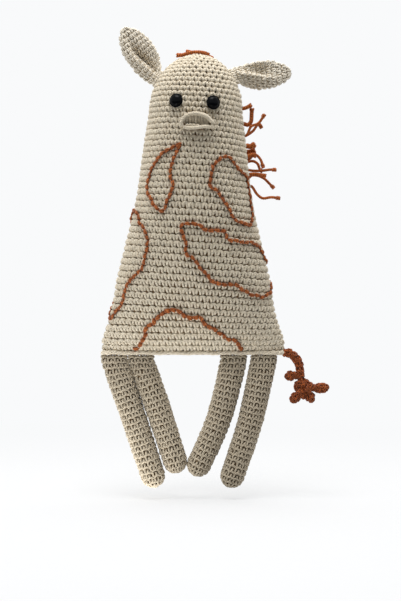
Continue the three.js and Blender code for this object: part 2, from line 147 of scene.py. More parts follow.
# Angle round an ellipse at a share of its girth, from the front towards +X
flatStep = 0.02  # depth to width, between rows of the table
girthSteps = 720
ellipses = []
for flat in np.linspace(flatStep, 1.1, 55):
    turn = np.linspace(0, 2 * np.pi, 4 * girthSteps + 1)
    speed = np.hypot(np.cos(turn), flat * np.sin(turn))
    run = runningSum((speed[1:] + speed[:-1]) / 2)
    ellipses.append(np.interp(np.linspace(0, 1, girthSteps + 1), run / run[-1], turn))
ellipses = np.array(ellipses)


def roundEllipse(share, across, deep):
    turns = np.floor(share)
    row = np.clip((deep / np.maximum(across, 1e-6) - flatStep) / flatStep, 0, len(ellipses) - 1.001)
    col = (share - turns) * girthSteps
    r, c = row.astype(int), np.minimum(col.astype(int), girthSteps - 1)
    low = mix(ellipses[r, c], ellipses[r, c + 1], col - c)
    high = mix(ellipses[r + 1, c], ellipses[r + 1, c + 1], col - c)
    return mix(low, high, row - r) + 2 * np.pi * turns


def girthOf(across, deep):
    h = ((across - deep) / (across + deep)) ** 2
    return np.pi * (across + deep) * (1 + 3 * h / (10 + np.sqrt(4 - 3 * h)))


def newMesh(name, points, faces, layers, material):
    mesh = bpy.data.meshes.new(name)
    world = (points - [0, backPlane, chestHeight]) * mm
    mesh.vertices.add(len(world))
    mesh.vertices.foreach_set("co", world.astype(np.float32).ravel())
    corners = np.concatenate([f.ravel() for f in faces])
    sizes = np.concatenate([np.full(len(f), f.shape[1]) for f in faces])
    mesh.loops.add(len(corners))
    mesh.loops.foreach_set("vertex_index", corners.astype(np.int32))
    mesh.polygons.add(len(sizes))
    mesh.polygons.foreach_set("loop_start", (np.cumsum(sizes) - sizes).astype(np.int32))
    mesh.update(calc_edges=True)
    for layerName, uv in layers.items():
        layer = mesh.uv_layers.new(name=layerName)
        layer.data.foreach_set("uv", np.concatenate([u.ravel() for u in uv]).astype(np.float32))
    mesh.shade_smooth()
    mesh.materials.append(material)
    return mesh


# Rings of yarn round centre lines, (tubes, rings, 3)
def yarnRings(centre, normal, radius, sides=6):
    along = unit(np.gradient(centre, axis=1))
    side = unit(np.cross(along, normal))
    up = np.cross(side, along)
    out = circle(fullTurn(sides), side[:, :, None], up[:, :, None])
    return centre[:, :, None] + out * np.broadcast_to(radius, centre.shape[:2])[:, :, None, None]


# The map for baking has a cell for each tube: a strip, (left, width, bottom, height), over two end discs
tubeStrip = (0.04, 0.92, 0.12, 0.84)
skinStrip = (0.01, 0.98, 0.1, 0.88)
discPlaces, discHeight, discSize = (0.25, 0.75), 0.05, 0.04


# The four corners of each face in a net of points
def faceCorners(net):
    return np.stack([net[:-1, :-1], net[1:, :-1], net[1:, 1:], net[:-1, 1:]], 2)


def tubeFaces(rings, sides):
    number = np.arange(rings * sides).reshape(rings, sides)
    return faceCorners(np.concatenate([number, number[:, :1]], 1)).reshape(-1, 4)


def stripMap(strip, rings, sides):
    left, wide, bottom, tall = strip
    u = left + wide * np.arange(sides + 1) / sides
    v = bottom + tall * np.arange(rings)[:, None] / (rings - 1)
    return faceCorners(np.stack(np.broadcast_arrays(u, v), -1)).reshape(-1, 4, 2)


def discMaps(sides):
    x, y = [discSize * way(fullTurn(sides)) for way in (np.cos, np.sin)]
    return [np.stack([place + x, discHeight + y], -1) for place in discPlaces]


# One mesh of closed yarn tubes, with maps of the yarn's lay and for baking
def yarnMesh(name, groups, material):
    points, faces, lays, bakes = [], ([], []), ([], []), ([], [])  # of the sides, and of the ends
    grid = math.ceil(math.sqrt(sum(len(g) for g in groups)))
    base, cell = 0, 0
    for g in groups:
        tubes, rings, sides = g.shape[:3]
        points.append(g.reshape(-1, 3))
        first = base + np.arange(tubes)[:, None] * rings * sides
        last = first + rings * sides - 1
        faces[0].append((first[:, None] + tubeFaces(rings, sides)).reshape(-1, 4))
        faces[1].append(np.concatenate([first + np.arange(sides), last - np.arange(sides)]))
        steps = np.linalg.norm(np.diff(g.mean(2), axis=1), axis=2)
        run = np.concatenate([np.zeros((tubes, 1)), np.cumsum(steps, 1)], 1)
        share = np.arange(sides + 1) / sides
        lay = faceCorners(np.stack(np.broadcast_arrays(run.T[:, None], share[:, None]), -1))
        lays[0].append(np.moveaxis(lay, 3, 0).reshape(-1, 8))
        lays[1].append(np.tile(np.stack([np.zeros(sides), share[:-1]], -1).ravel(), (2 * tubes, 1)))
        number = cell + np.arange(tubes)
        cells = np.stack([number % grid, number // grid], -1)[:, None]
        bakes[0].append(((cells[:, None] + stripMap(tubeStrip, rings, sides)) / grid).reshape(-1, 8))
        bakes[1].extend(((cells + disc) / grid).reshape(tubes, -1) for disc in discMaps(sides))
        base += tubes * rings * sides
        cell += tubes
    layers = {"OFBake": bakes[0] + bakes[1], "yarnLay": lays[0] + lays[1]}
    return newMesh(name, np.concatenate(points), faces[0] + faces[1], layers, material)


# Closed skin over rings of points, (rings, round, 3)
def skinMesh(name, rings, material):
    a, b, c = rings[:-1], np.roll(rings[:-1], -1, axis=1), rings[1:]
    if np.einsum("ijk,ijk->", np.cross(b - a, c - a), a - rings.mean((0, 1))) < 0:
        rings = rings[::-1]  # faces look outwards
    count, around = rings.shape[:2]
    quads, sides = [np.roll(part[:, ::-1], 1, axis=1)
                    for part in (tubeFaces(count, around), stripMap(skinStrip, count, around))]
    sides = sides.reshape(-1, 8)
    ends = np.stack([np.arange(around)[::-1], (count - 1) * around + np.arange(around)])
    lids = np.array(discMaps(around)).reshape(2, -1)
    layTimes = 20  # strips to a yarn's lay
    layers = {"OFBake": [sides, lids], "yarnLay": [sides * layTimes, lids]}
    return newMesh(name, rings.reshape(-1, 3), [quads, ends], layers, material)


# Sides of a middle line, carried along it without twisting
def carriedSides(middle):
    along = wayAlong(middle)
    side = [unit(np.cross(along[0], [0.3, 0.9, 0.2]))]
    for way in along[1:]:
        side.append(unit(side[-1] - way * np.dot(side[-1], way)))
    side = np.array(side)
    return side, np.cross(along, side)


# Three plies twisted round a middle line
def twistedPlies(middle, side, up, turns, offset, radius, sides):
    plies = []
    for k in range(3):
        turn = 2 * np.pi * (turns + k / 3)
        out = circle(turn, side, up)
        centre = middle + out * np.broadcast_to(offset, turn.shape)[:, None]
        plies.append(yarnRings(centre[None], out[None], radius, sides))
    return plies


def placed(name, data):
    obj = bpy.data.objects.new(name, data)
    scene.collection.objects.link(obj)
    return obj


def pieceOf(makeMesh, name, parts, material, body, slotName, *nodes):
    obj = placed(name, makeMesh(name, parts, material))
    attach(obj, body)
    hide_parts(*nodes)
    return obj


yarnPiece = functools.partial(pieceOf, yarnMesh)
skinPiece = functools.partial(pieceOf, skinMesh)


# Lays a stitch's strands along rounds, (row, stitches), of a surface
def layStitches(surface, rounds, pitch, strands, yarn, uneven=0.05, drift=0.37, fullness=None):
    stitches = [n for _, n in rounds]
    rows, counts = np.repeat(np.array(rounds, float), stitches, axis=0).T
    numbers = np.concatenate([np.arange(n) for n in stitches])
    ofStrand, ofPlace, ofThick = 0.4, 0.6, 0.7  # how uneven tension is shared out
    wobble = dice.normal(0, uneven, (len(rows), 3))
    laid = []
    for strand, part in strands:
        stray = wobble + dice.normal(0, uneven * ofStrand, (len(rows), 3))
        across = strand[:, 0] + stray[:, :1] * ofPlace
        along = rows[:, None] + strand[:, 1] + stray[:, 1:2] * ofPlace
        lift = ((strand[:, 2] + stray[:, 2:]) * yarn).ravel()
        share = (numbers[:, None] + 0.5 + across + drift * rows[:, None]) / counts[:, None]
        centre, above = [surface(share.ravel(), along.ravel() * pitch, lift + more).reshape(*share.shape, 3)
                         for more in (0, yarn / 3)]
        thick = yarn * part / 2 * (1 + dice.normal(0, uneven * ofThick, (len(rows), 1)))
        if fullness is not None:
            thick = thick * fullness[rows.astype(int), None]
        laid.append(yarnRings(centre, above - centre, thick))
    return laid


# A closed skin on a fabric. lift is a number, or a function of share and run.
def fabricSkin(surface, first, last, lift, ringCount, around):
    runs = np.repeat(np.linspace(first, last, ringCount), around)
    shares = np.tile(np.arange(around) / around, ringCount)
    lifts = lift(shares, runs) if callable(lift) else lift
    return surface(shares, runs, lifts).reshape(ringCount, around, 3)


# Crochets a fabric, (surface, run, girth at a run), in rounds: stitches over a skin of inner loops,
# whose darker colour is painted shade in the gaps between the stitches
def crochet(name, skinName, materials, piece, fabric, strands, *owners):
    surface, total, girth = fabric
    rounds = []
    for row in range(round(total / piece["pitch"])):
        stitches = round(float(girth((row + 0.5) * piece["pitch"])) / piece["stitch"])
        rounds.append((row, max(piece["fewest"], stitches)))
    pitch = total / len(rounds)
    laid = layStitches(surface, rounds, pitch, strands, piece["yarn"], piece["uneven"], piece["drift"])
    yarnPiece(name + "_stitches", laid, materials[0], *owners)
    print(name, "rows", len(rounds))
    rings = fabricSkin(surface, 0, total, piece["bed"], *piece["bedRings"])
    return skinPiece(name + skinName, rings, materials[1], *owners)


# Loose filling under a fabric, settled in lumps
def fillUnder(name, surface, first, last, piece, body, node):
    depth = piece["fillInset"] - piece["inset"]
    height, size = 0.5, 4.5

    def lumps(share, run):
        return -depth - height * np.sin(2 * np.pi * piece["lumps"] * share) * np.sin(run / size)

    skinPiece(name, fabricSkin(surface, first, last, lumps, *piece["fillRings"]), fibreFill,
              body, "fibre_fill", node)


# Single crochet on the body: a bar along the top of the row, and two plump legs that hang from it.
# A point is (stitches across, rows along, yarns of lift).
bodyBar = [(-0.56, 0.5, -0.4), (-0.43, 0.64, 0.06), (-0.22, 0.78, 0.36), (0.03, 0.83, 0.42),
           (0.27, 0.77, 0.34), (0.45, 0.62, 0.04), (0.56, 0.48, -0.4)]
bodyLeft = [(-0.11, 0.84, 0.0), (-0.17, 0.68, 0.45), (-0.23, 0.48, 0.6), (-0.28, 0.31, 0.42),
            (-0.31, 0.16, -0.35)]
bodyRight = [(0.13, 0.84, 0.0), (0.18, 0.68, 0.45), (0.23, 0.46, 0.6), (0.28, 0.26, 0.42),
             (0.3, 0.07, -0.35)]
bodySide = [(route(bodyBar, 11)[0], 0.86), (route(bodyLeft, 7)[0], 0.92), (route(bodyRight, 7)[0], 0.92)]
# On legs and tail: a bar, a post between neighbours and a bump in the open arch
faceBar = [(-0.55, 1.04, 0.0), (-0.38, 0.9, 0.36), (0.0, 0.78, 0.5), (0.38, 0.9, 0.36), (0.55, 1.04, 0.0)]
facePost = [(-0.48, -0.08, -0.1), (-0.49, 0.12, 0.28), (-0.51, 0.4, 0.42), (-0.52, 0.66, 0.36),
            (-0.5, 0.9, 0.0)]
faceBump = [(0.03, 0.24, -0.45), (0.01, 0.36, 0.35), (-0.02, 0.56, 0.55), (-0.03, 0.8, 0.2)]
faceSide = [(route(faceBar, 9)[0], 0.92), (route(facePost, 7)[0], 0.84), (route(faceBump, 6)[0], 0.92)]
earSide = [(points * [1, 1, 0.8], share) for points, share in bodySide]

times, largest = {"operation": "MULTIPLY"}, {"operation": "MAXIMUM"}
coloured = {"data_type": "RGBA"}
tinting = {**coloured, "blend_type": "MULTIPLY", 0: 1.0}


# Mercerised cotton yarn, spun in plies and crocheted: matt with a soft bloom of loose fibres,
# paler on the crowns of the plies and greyer in their grooves, which is painted shade,
# and uneven from stitch to stitch
def cottonYarn(name, crown, groove, tone, plyPitch, toneDepth=0.5, toneSize=7.0):
    material = bpy.data.materials.new(name)
    add = nodesOf(material)
    fibreSize, plyCount = 0.45, 3  # loose fibres, in millimetres
    place = add("TexCoord").outputs["Object"]
    axes = add("SeparateXYZ", links={0: add("UVMap", {"uv_map": "yarnLay"})})
    spiral = add("Math", {"operation": "MULTIPLY_ADD", 1: 1 / plyPitch}, {0: axes, 2: axes.outputs[1]})
    plies = add("Math", {"operation": "MULTIPLY", 1: plyCount * 2 * math.pi}, {0: spiral})
    wave = add("Math", {"operation": "SINE"}, {0: plies})
    ply = add("MapRange", {"From Min": -1.0, "From Max": 0.6}, {"Value": wave})
    fibre = add("TexNoise", {"Scale": 1 / (fibreSize * mm), "Detail": 3.0, "Roughness": 0.6},
                {"Vector": place})
    patchy = add("TexNoise", {"Scale": 1 / (toneSize * mm), "Detail": 2.0}, {"Vector": place})
    # painted shade: the groove colour darkens the hollows between the plies
    plyShading = add("Mix", {**coloured, 6: linear(groove), 7: linear(crown)}, {0: ply})
    uneven = add("MapRange", {"From Min": 0.35, "From Max": 0.7, "To Max": toneDepth}, {"Value": patchy})
    toned = add("Mix", {**coloured, 7: linear(tone)}, {0: uneven, 6: plyShading.outputs[2]})
    lint = add("MapRange", {"To Min": 0.9, "To Max": 1.08}, {"Value": fibre})
    colour = add("Mix", tinting, {6: toned.outputs[2], 7: lint})
    rough = add("MapRange", {"To Min": 0.78, "To Max": 0.98}, {"Value": fibre})
    twist = add("Bump", {"Strength": 0.5, "Distance": 0.25 * mm}, {"Height": ply})
    fuzz = add("Bump", {"Strength": 0.35, "Distance": 0.12 * mm}, {"Height": fibre, "Normal": twist})
    surface = add("BsdfPrincipled", {"Sheen Weight": 0.15, "Sheen Roughness": 0.5, "Specular IOR Level": 0.3},
                  {"Base Color": colour.outputs[2], "Roughness": rough, "Normal": fuzz})
    add("OutputMaterial", links={"Surface": surface})
    return material


# Moulded plastic: smooth, with a faint orange peel and a trace of handling on its gloss
def mouldedPlastic(name, colour, worn, gloss, peel, shine=0.5):
    material = bpy.data.materials.new(name)
    add = nodesOf(material)
    smearSize = 3  # millimetres
    place = add("TexCoord").outputs["Object"]
    smear = add("TexNoise", {"Scale": 1 / (smearSize * mm), "Detail": 4.0}, {"Vector": place})
    skin = add("TexNoise", {"Scale": 1 / (peel * mm), "Detail": 1.0}, {"Vector": place})
    tint = add("Mix", {**coloured, 6: linear(colour), 7: linear(worn)}, {0: smear})
    rough = add("MapRange", {"To Min": gloss, "To Max": gloss + 0.12}, {"Value": smear})
    bump = add("Bump", {"Strength": 0.08, "Distance": 0.05 * mm}, {"Height": skin})
    surface = add("BsdfPrincipled", {"IOR": 1.5, "Specular IOR Level": shine},
                  {"Base Color": tint.outputs[2], "Roughness": rough, "Normal": bump})
    add("OutputMaterial", links={"Surface": surface})
    return material


creamCotton = cottonYarn("cotton_yarn_cream_crocheted", "#E4DAC7", "#CBBFA7", "#D6C8B0", 3.2)
# the legs' yarn: darker and greyer than the body's cream
legCotton = cottonYarn("cotton_yarn_ecru_crocheted", "#BDB19C", "#A1957F", "#ADA08A", 3.2)
# painted shade: a dark brown skin under the cream stitches, darkening the gaps between them
innerCottonShade = cottonYarn("cotton_yarn_cream_inner_loops", "#8A7254", "#66513A", "#786146", 2.4)
# painted light: the ears' cream is paler than the body's, for the brighter light they catch
earCottonLit = cottonYarn("cotton_yarn_cream_ear", "#F1E9DA", "#DCD2BE", "#E7DCC9", 2.8)
# painted shade: the ears' inner loops, darker, in the gaps between their stitches
earInnerShade = cottonYarn("cotton_yarn_cream_ear_inner_loops", "#C6B8A0", "#A99A82", "#B8A991", 2.4)
# rust plies are drawn coarse, to stay in sight
rustCotton = cottonYarn("cotton_yarn_rust_twisted", "#C87336", "#6B3214", "#7C3F1A", 6.6, 0.8, 3.5)
maneCotton = cottonYarn("cotton_yarn_rust_strands", "#D67836", "#78360F", "#8C4516", 6.6, 0.7, 3.5)
tailCotton = cottonYarn("cotton_yarn_rust_crocheted", "#B45B20", "#56230A", "#66300E", 6.6, 0.8, 3.5)
# painted shade: dark brown loops under the rust chains and the tail's stitches
rustInnerShade = cottonYarn("cotton_yarn_rust_inner_loops", "#5A2A12", "#401B0A", "#4C220E", 2.4)
eyePlastic = mouldedPlastic("acrylic_black_moulded_polished", "#040507", "#090B0E", 0.08, 0.5, 0.07)
washerPlastic = mouldedPlastic("polyethylene_white_moulded", "#E7E5DD", "#D8D5CB", 0.42, 0.3)
fibreFill = cottonYarn("polyester_fibre_fill_carded", "#F1EFE8", "#E2DFD4", "#E8E5DB", 4.0)
print("materials made")

body = {
    "heights": [0, 9, 24, 56, 110, 150, 178],
    "widths": [138.5, 136, 126, 114, 88.5, 78, 70.5],
    "depths": [9, 23, 38, 53, 65, 64, 62.5],
    "crown": 222.0, "crownOffset": 3.0,
    "domeEnd": 89.5,  # degrees up the dome
    "rowsAt": [0, 70, 105, 126, 152, 165, 200],  # up from the hem, and the height of a row there
    "rowHeights": [5.0, 4.95, 4.8, 4.6, 4.25, 4.2, 3.95],
    "usualRow": 4.8, "stitch": 4.95, "yarn": 2.05,
    "crowding": -0.3,  # the yarn lies fuller in finer rows
    "rowTilt": 0.06,  # spiral rows drop towards +X
    "levelEnds": 40,  # but level out at the ends, over this run
    "inset": 1.9,  # the yarn's bed, below the surface
    "hemPlump": 0.22,  # slack first rows lie fuller too
    "hemRows": 5, "fewest": 6,
    "bands": ("hem", "hip", "belly", "chest", "neck", "head"),
    "bed": -0.15, "bedRings": (90, 96), "fill": 0.85, "fillInset": 4.0,
    "fillEnds": (3, 4),  # short of the hem and the crown
    "fillRings": (60, 72), "lumps": 9,
}
browHeight = body["heights"][-1]


# A curve through the bag's sizes, with the mean of the slopes beside each
def sizeAt(height, sizes):
    t, v = np.array(body["heights"], float), np.array(sizes, float)
    slopes = np.diff(v) / np.diff(t)
    steep = np.concatenate([slopes[:1], (slopes[1:] + slopes[:-1]) / 2, slopes[-1:]])
    i = np.clip(np.searchsorted(t, height, side="right"), 1, len(t) - 1)
    gap = t[i] - t[i - 1]
    p = (height - t[i - 1]) / gap
    return mix(v[i - 1], v[i], smooth(p)) + gap * p * (1 - p) * mix(steep[i - 1], -steep[i], p)


# Half width, half depth and height at a station: a height up to the brow, then degrees up the dome
def bagStation(station, outward):
    low = np.clip(station, 0, browHeight)
    turn = np.radians(np.clip(station - browHeight, 0, body["domeEnd"]))
    drawn = np.cos(turn)
    across, deep = [(sizeAt(low, body[size]) / 2 + outward) * drawn for size in ("widths", "depths")]
    return across, deep, low + (body["crown"] + outward - browHeight) * np.sin(turn)


def bagAt(angle, station, outward):
    across, deep, height = bagStation(station, outward)
    lean = body["crownOffset"] * (height / body["crown"]) ** 2
    back = np.minimum(-deep * np.cos(angle), backPlane + outward)
    return np.stack([lean + across * np.sin(angle), back, height], -1)


stations = np.linspace(0, browHeight + body["domeEnd"], 1200)
across, deep, height = [np.diff(size) for size in bagStation(stations, 0)]
meridian = runningSum(np.sqrt((across ** 2 + deep ** 2) / 2 + height ** 2))


# The body's fabric: share of the girth, run up from the hem, lift off the yarn's bed
def bodyFabric(share, run, lift):
    station = np.interp(run, meridian, stations)
    across, deep, _ = bagStation(station, 0)
    angle = roundEllipse(share, across, deep)
    level = smooth(run / body["levelEnds"]) * smooth((meridian[-1] - run) / body["levelEnds"])
    drop = body["rowTilt"] * across * np.sin(angle) * level
    return bagAt(angle, np.interp(run - drop, meridian, stations), lift - body["inset"])


# Point and normal on the bag, by degrees round and height
def bagSpot(degrees, height, outward=0.0):
    angle = np.radians(degrees)
    upDome = np.clip((height - browHeight) / (body["crown"] - browHeight), 0, 0.9999)
    station = np.minimum(height, browHeight) + np.degrees(np.arcsin(upDome))
    spot = bagAt(angle, station, outward)
    turn, climb = 0.005, 0.3  # small steps
    around = bagAt(angle + turn, station, outward) - bagAt(angle - turn, station, outward)
    upward = bagAt(angle, station + climb, outward) - bagAt(angle, station - climb, outward)
    return spot, unit(np.cross(around, upward))


rowRuns = [0.0]
while rowRuns[-1] < meridian[-1]:
    rowRuns.append(rowRuns[-1] + np.interp(rowRuns[-1], body["rowsAt"], body["rowHeights"]))
rowRuns = np.array(rowRuns[:-1])
bodyRows = len(rowRuns) - 1
bodyFullness = (np.diff(rowRuns) / body["usualRow"]) ** body["crowding"]
bodyFullness *= 1 + body["hemPlump"] * (1 - smooth(np.arange(bodyRows) / body["hemRows"]))
across, deep, _ = bagStation(np.interp((rowRuns[:-1] + rowRuns[1:]) / 2, meridian, stations), 0)
stitches = np.round(girthOf(across, deep) / body["stitch"]).astype(int)
bodyRounds = list(enumerate(np.maximum(stitches, body["fewest"])))


# The same fabric, counted in rows
def rowFabric(share, row, lift):
    return bodyFabric(share, np.interp(row, np.arange(bodyRows + 1), rowRuns), lift)


bandSize = math.ceil(bodyRows / len(body["bands"]))
for k, band in enumerate(body["bands"]):
    rounds = bodyRounds[k * bandSize:(k + 1) * bandSize]
    laid = layStitches(rowFabric, rounds, 1, bodySide, body["yarn"], fullness=bodyFullness)
    yarnPiece("body_stitches_" + band, laid, creamCotton, "body", "cream_yarn", "body_cover")
# the bag under the stitches is coloured as painted shade in the gaps
bagRings = fabricSkin(bodyFabric, 0, meridian[-1], body["bed"], *body["bedRings"])
bodyBag = skinPiece("body_bag", bagRings, innerCottonShade, "body", "cream_yarn", "body_cover")
fillLow, fillHigh = body["fillEnds"]
fillUnder("body_filling", bodyFabric, fillLow, meridian[-1] - fillHigh, body, "body", "body_stuffing")
print("body: rows", bodyRows, "stitches", sum(n for _, n in bodyRounds))

seam = {
    "length": 138.5, "depth": 9.0, "top": -0.3, "height": 3.0, "yarn": 1.9, "inset": 1.7, "lift": 0.1,
    "turns": 22,  # of the plies round the hem
    "ply": (0.42, 0.54),  # offset and radius, in yarns
    "waves": [(0.25, 13, 0), (0.15, 29, 1)],  # height, number round the hem and phase
    "waveLift": 0.15, "slack": 0.6, "bed": -0.4, "bedRings": (7, 160),
}


# The roll that closes the bag: share of its girth, run down from the hem, lift
def seamFabric(share, run, lift):
    straight = (seam["length"] - seam["depth"]) / 2
    radius = seam["depth"] / 2
    corners = np.cumsum([0, straight, np.pi * radius, 2 * straight, np.pi * radius, straight])
    along = np.mod(share, 1) * corners[-1]
    x = np.interp(along, corners, straight * np.array([0, 1, 1, -1, -1, 0]))
    turn = np.interp(along, corners, np.pi * np.array([0, 0, 1, 1, 2, 2]))
    grown = radius + lift - seam["inset"]
    height = seam["top"] - np.clip(run, 0, seam["height"] + seam["slack"])
    return np.stack([x + grown * np.sin(turn), -grown * np.cos(turn), height], -1)


# Three fat plies of closing yarn, whipped along the hem
seamShare = np.linspace(0.5, 1.5, 420)
seamRun = np.full(len(seamShare), seam["height"] / 2)
seamOut = unit(seamFabric(seamShare, seamRun, 1.0) - seamFabric(seamShare, seamRun, 0.0))
seamWave = seam["waveLift"]
for height, number, phase in seam["waves"]:
    seamWave = seamWave + height * np.sin(2 * np.pi * number * seamShare + phase)
upright = np.array([0, 0, 1.0])
seamMiddle = seamFabric(seamShare, seamRun, seam["lift"]) + np.outer(seamWave, upright)
offset, radius = [seam["yarn"] * part for part in seam["ply"]]
plies = twistedPlies(seamMiddle, seamOut, upright, seam["turns"] * seamShare, offset, radius, 8)
yarnPiece("bottom_seam_stitches", plies, creamCotton, "body", "cream_yarn", "bottom_seam")
# the roll under the plies is coloured as painted shade
seamRings = fabricSkin(seamFabric, 0, seam["height"], seam["bed"], *seam["bedRings"])
skinPiece("bottom_seam_roll", seamRings, innerCottonShade, "body", "cream_yarn", "bottom_seam")
print("bottom seam made")


# A crocheted tube in the toy's plane. Its ends close in balls, or at the start in a pinched edge.
def tubeFabric(middle, across, halfAcross, halfDeep, inset, pinched=0.0):
    along = wayAlong(middle)
    capRings = 15
    turn = np.linspace(0, np.pi / 2, capRings + 1)
    bend = np.concatenate([-turn[:0:-1], np.zeros(len(middle)), turn[1:]])
    at = np.pad(np.arange(len(middle)), capRings, "edge")
    reach = np.where(bend[:, None] < 0, upright if pinched else -along[0], along[-1])
    ballSize = np.where(bend < 0, halfDeep[0] + pinched, halfDeep[-1])
    capSteps = (halfDeep[0] * turn[1], halfDeep[-1] * turn[1])
    run = runningSum(np.pad(stepsOf(middle), capRings, constant_values=capSteps))
    drawnDeep = np.cos(bend)
    drawnAcross = np.where(bend < 0, 1.0, drawnDeep) if pinched else drawnDeep
    sizes = [halfAcross[at], halfDeep[at], np.abs(np.sin(bend)), ballSize, drawnAcross, drawnDeep]
    table = np.concatenate([middle[at], reach, across[at], np.stack(sizes, 1)], 1)
    least, leastGirth = 0.1, 0.3

    def surface(share, at, lift):
        row = tableAt(at, run, table)
        centre, way, side = row[:, :3], row[:, 3:6], unit(row[:, 6:9])
        wide, deep, rise, ball, drawnA, drawnD = row[:, 9:].T
        grown = lift - inset
        angle = roundEllipse(share, np.maximum(wide * drawnA, least), np.maximum(deep * drawnD, least))
        wide = np.maximum(wide + grown, least) * drawnA * np.sin(angle)
        deep = np.maximum(deep + grown, least) * drawnD * np.cos(angle)
        capped = centre + way * (rise * (ball + grown))[:, None]
        return capped + side * wide[:, None] - np.outer(deep, [0, 1, 0])

    def girth(at):
        wide, deep, _, _, drawnA, drawnD = tableAt(at, run, table)[9:]
        return girthOf(max(wide * drawnA, leastGirth), max(deep * drawnD, leastGirth))

    return surface, run[-1], girth


# Sideways from a middle line, in the toy's plane
def squareTo(middle):
    along = wayAlong(middle)
    return np.stack([-along[:, 2], np.zeros(len(along)), along[:, 0]], 1)


legs = {
    "hinge": -7.6,
    "topWidth": 20.0,  # a pair of tops just touches
    "topDepth": 8.0,
    "flare": 20.0,  # from the pinched top to the round leg
    "width": 19.4, "toeWidth": 17.6, "stitch": 4.9, "pitch": 4.3, "drift": 0.1, "yarn": 1.85,
    "inset": 1.2,
    "root": 0.6,  # the pinched top, in the seam
    "fewest": 5, "uneven": 0.06, "bed": -0.5, "bedRings": (60, 36), "fill": 0.9, "fillInset": 3.5,
    "fillRings": (40, 24), "lumps": 4, "points": 200,
    "routes": {  # hip, knee, toe and drop
        "front_leg_outer": (-59.0, -43.0, -27.2, 102.5),
        "front_leg_inner": (-39.0, -24.2, -10.8, 91.5),
        "hind_leg_inner": (30.5, 19.6, 0.9, 93.5),
        "hind_leg_outer": (53.0, 42.4, 26.6, 102.5),
    },
}

for leg, (hip, knee, toe, drop) in legs["routes"].items():
    halfway = (legs["hinge"] - drop) / 2
    middle, length = route([(hip, 0, legs["hinge"]), (knee, 0, halfway), (toe, 0, -drop)], legs["points"])
    toeStart = round(legs["points"] * (1 - legs["toeWidth"] / 2 / length))
    middle = middle[:toeStart]  # the ball of the toe comes after it
    share = np.linspace(0, 1, legs["points"])[:toeStart]
    full = smooth(share * length / legs["flare"])
    half = mix(legs["width"], legs["toeWidth"], share) / 2
    across = unit(mix(np.array([1.0, 0, 0]), squareTo(middle), full[:, None]))
    halfAcross, halfDeep = [mix(legs[top] / 2, half, full) for top in ("topWidth", "topDepth")]
    fabric = tubeFabric(middle, across, halfAcross, halfDeep, legs["inset"], legs["root"])
    tube = crochet(leg, "_tube", (legCotton, innerCottonShade), legs, fabric, faceSide,
                   leg, "leg_yarn", leg + "_cover")
    fillUnder(leg + "_filling", fabric[0], 1, fabric[1] - 1, legs, leg, leg + "_stuffing")

ears = {
    "base": 13.5, "thick": 4.0, "taper": 0.55, "height": 204.0,
    "gap": 2.3,  # the hinge line off the head
    "root": 4.0,  # the ear's base, sewn into the head
    "stitch": 4.1, "pitch": 3.8, "drift": 0.3, "yarn": 1.72, "inset": 1.1, "fewest": 4,
    "uneven": 0.06, "bed": 0.1, "bedRings": (40, 48),
    "squared": 3,  # how soon the leaf turns square to its length
    "foldEnd": (0.4, 0.35, 0.15),  # its start, its run and what is left
    "ridgeEnd": 0.5, "least": 0.05,
    "sides": {  # length, width, lean, degrees round; folds by places across, and the ridge's way
        "left_ear": (44.0, 24.0, 24.0, -90,
                     [-1.3, -0.75, -0.3, 0, 0.4, 1], [-1.0, 2.0, 8.5, -2.5, 0.5, 4.0], (0.0, 0.5)),
        "right_ear": (41.0, 21.5, 26.0, 90,
                      [-1, -0.4, 0, 0.25, 0.7, 1.3], [4.0, 0.5, -2.5, 4.5, 4.5, -1.5], (0.45, -0.25)),
    },
}


# A cupped leaf: share round its faces, run out from its root, lift
def earFabric(length, width, lean, degrees, bends, folds, ridges):
    foot, normal = bagSpot(degrees, ears["height"], ears["gap"])
    rise = np.array([-normal[2], 0, normal[0]])
    lean = math.radians(lean)
    out = normal * math.cos(lean) - rise * math.sin(lean)
    square = normal * math.sin(lean) + rise * math.cos(lean)
    foldStart, foldRun, foldLeft = ears["foldEnd"]

    def leafAt(run):
        t = np.clip((run - ears["root"]) / length, 0, 0.9995)
        leaf = np.sin(np.pi * t) ** ears["taper"]
        return t, leaf, mix(mix(ears["base"], 0, t), width, leaf)

    def surface(share, run, lift):
        t, leaf, wide = leafAt(run)
        wide = wide / 2
        thick = ears["thick"] / 2 * np.sqrt(1 - t ** 6)
        angle = roundEllipse(share, wide, thick)
        grown = lift - ears["inset"]
        side = unit(mix(rise, square, np.minimum(1, ears["squared"] * t)[:, None]))
        edge = np.maximum(wide + grown, ears["least"]) * np.sin(angle)
        ridge = mix(*ridges, np.clip(t / ears["ridgeEnd"], 0, 1))
        folded = np.interp(np.sin(angle) - ridge, bends, folds) * leaf
        folded = folded * mix(1, foldLeft, smooth((t - foldStart) / foldRun))
        deep = folded - np.maximum(thick + grown, ears["least"]) * np.cos(angle)
        return foot + out * (run - ears["root"])[:, None] + side * edge[:, None] + np.outer(deep, [0, 1, 0])

    return surface, length + ears["root"], lambda run: 2 * leafAt(run)[2] + ears["thick"]


for ear, shape in ears["sides"].items():
    crochet(ear, "_leaf", (earCottonLit, earInnerShade), ears, earFabric(*shape), earSide, ear, "cream_yarn", ear)

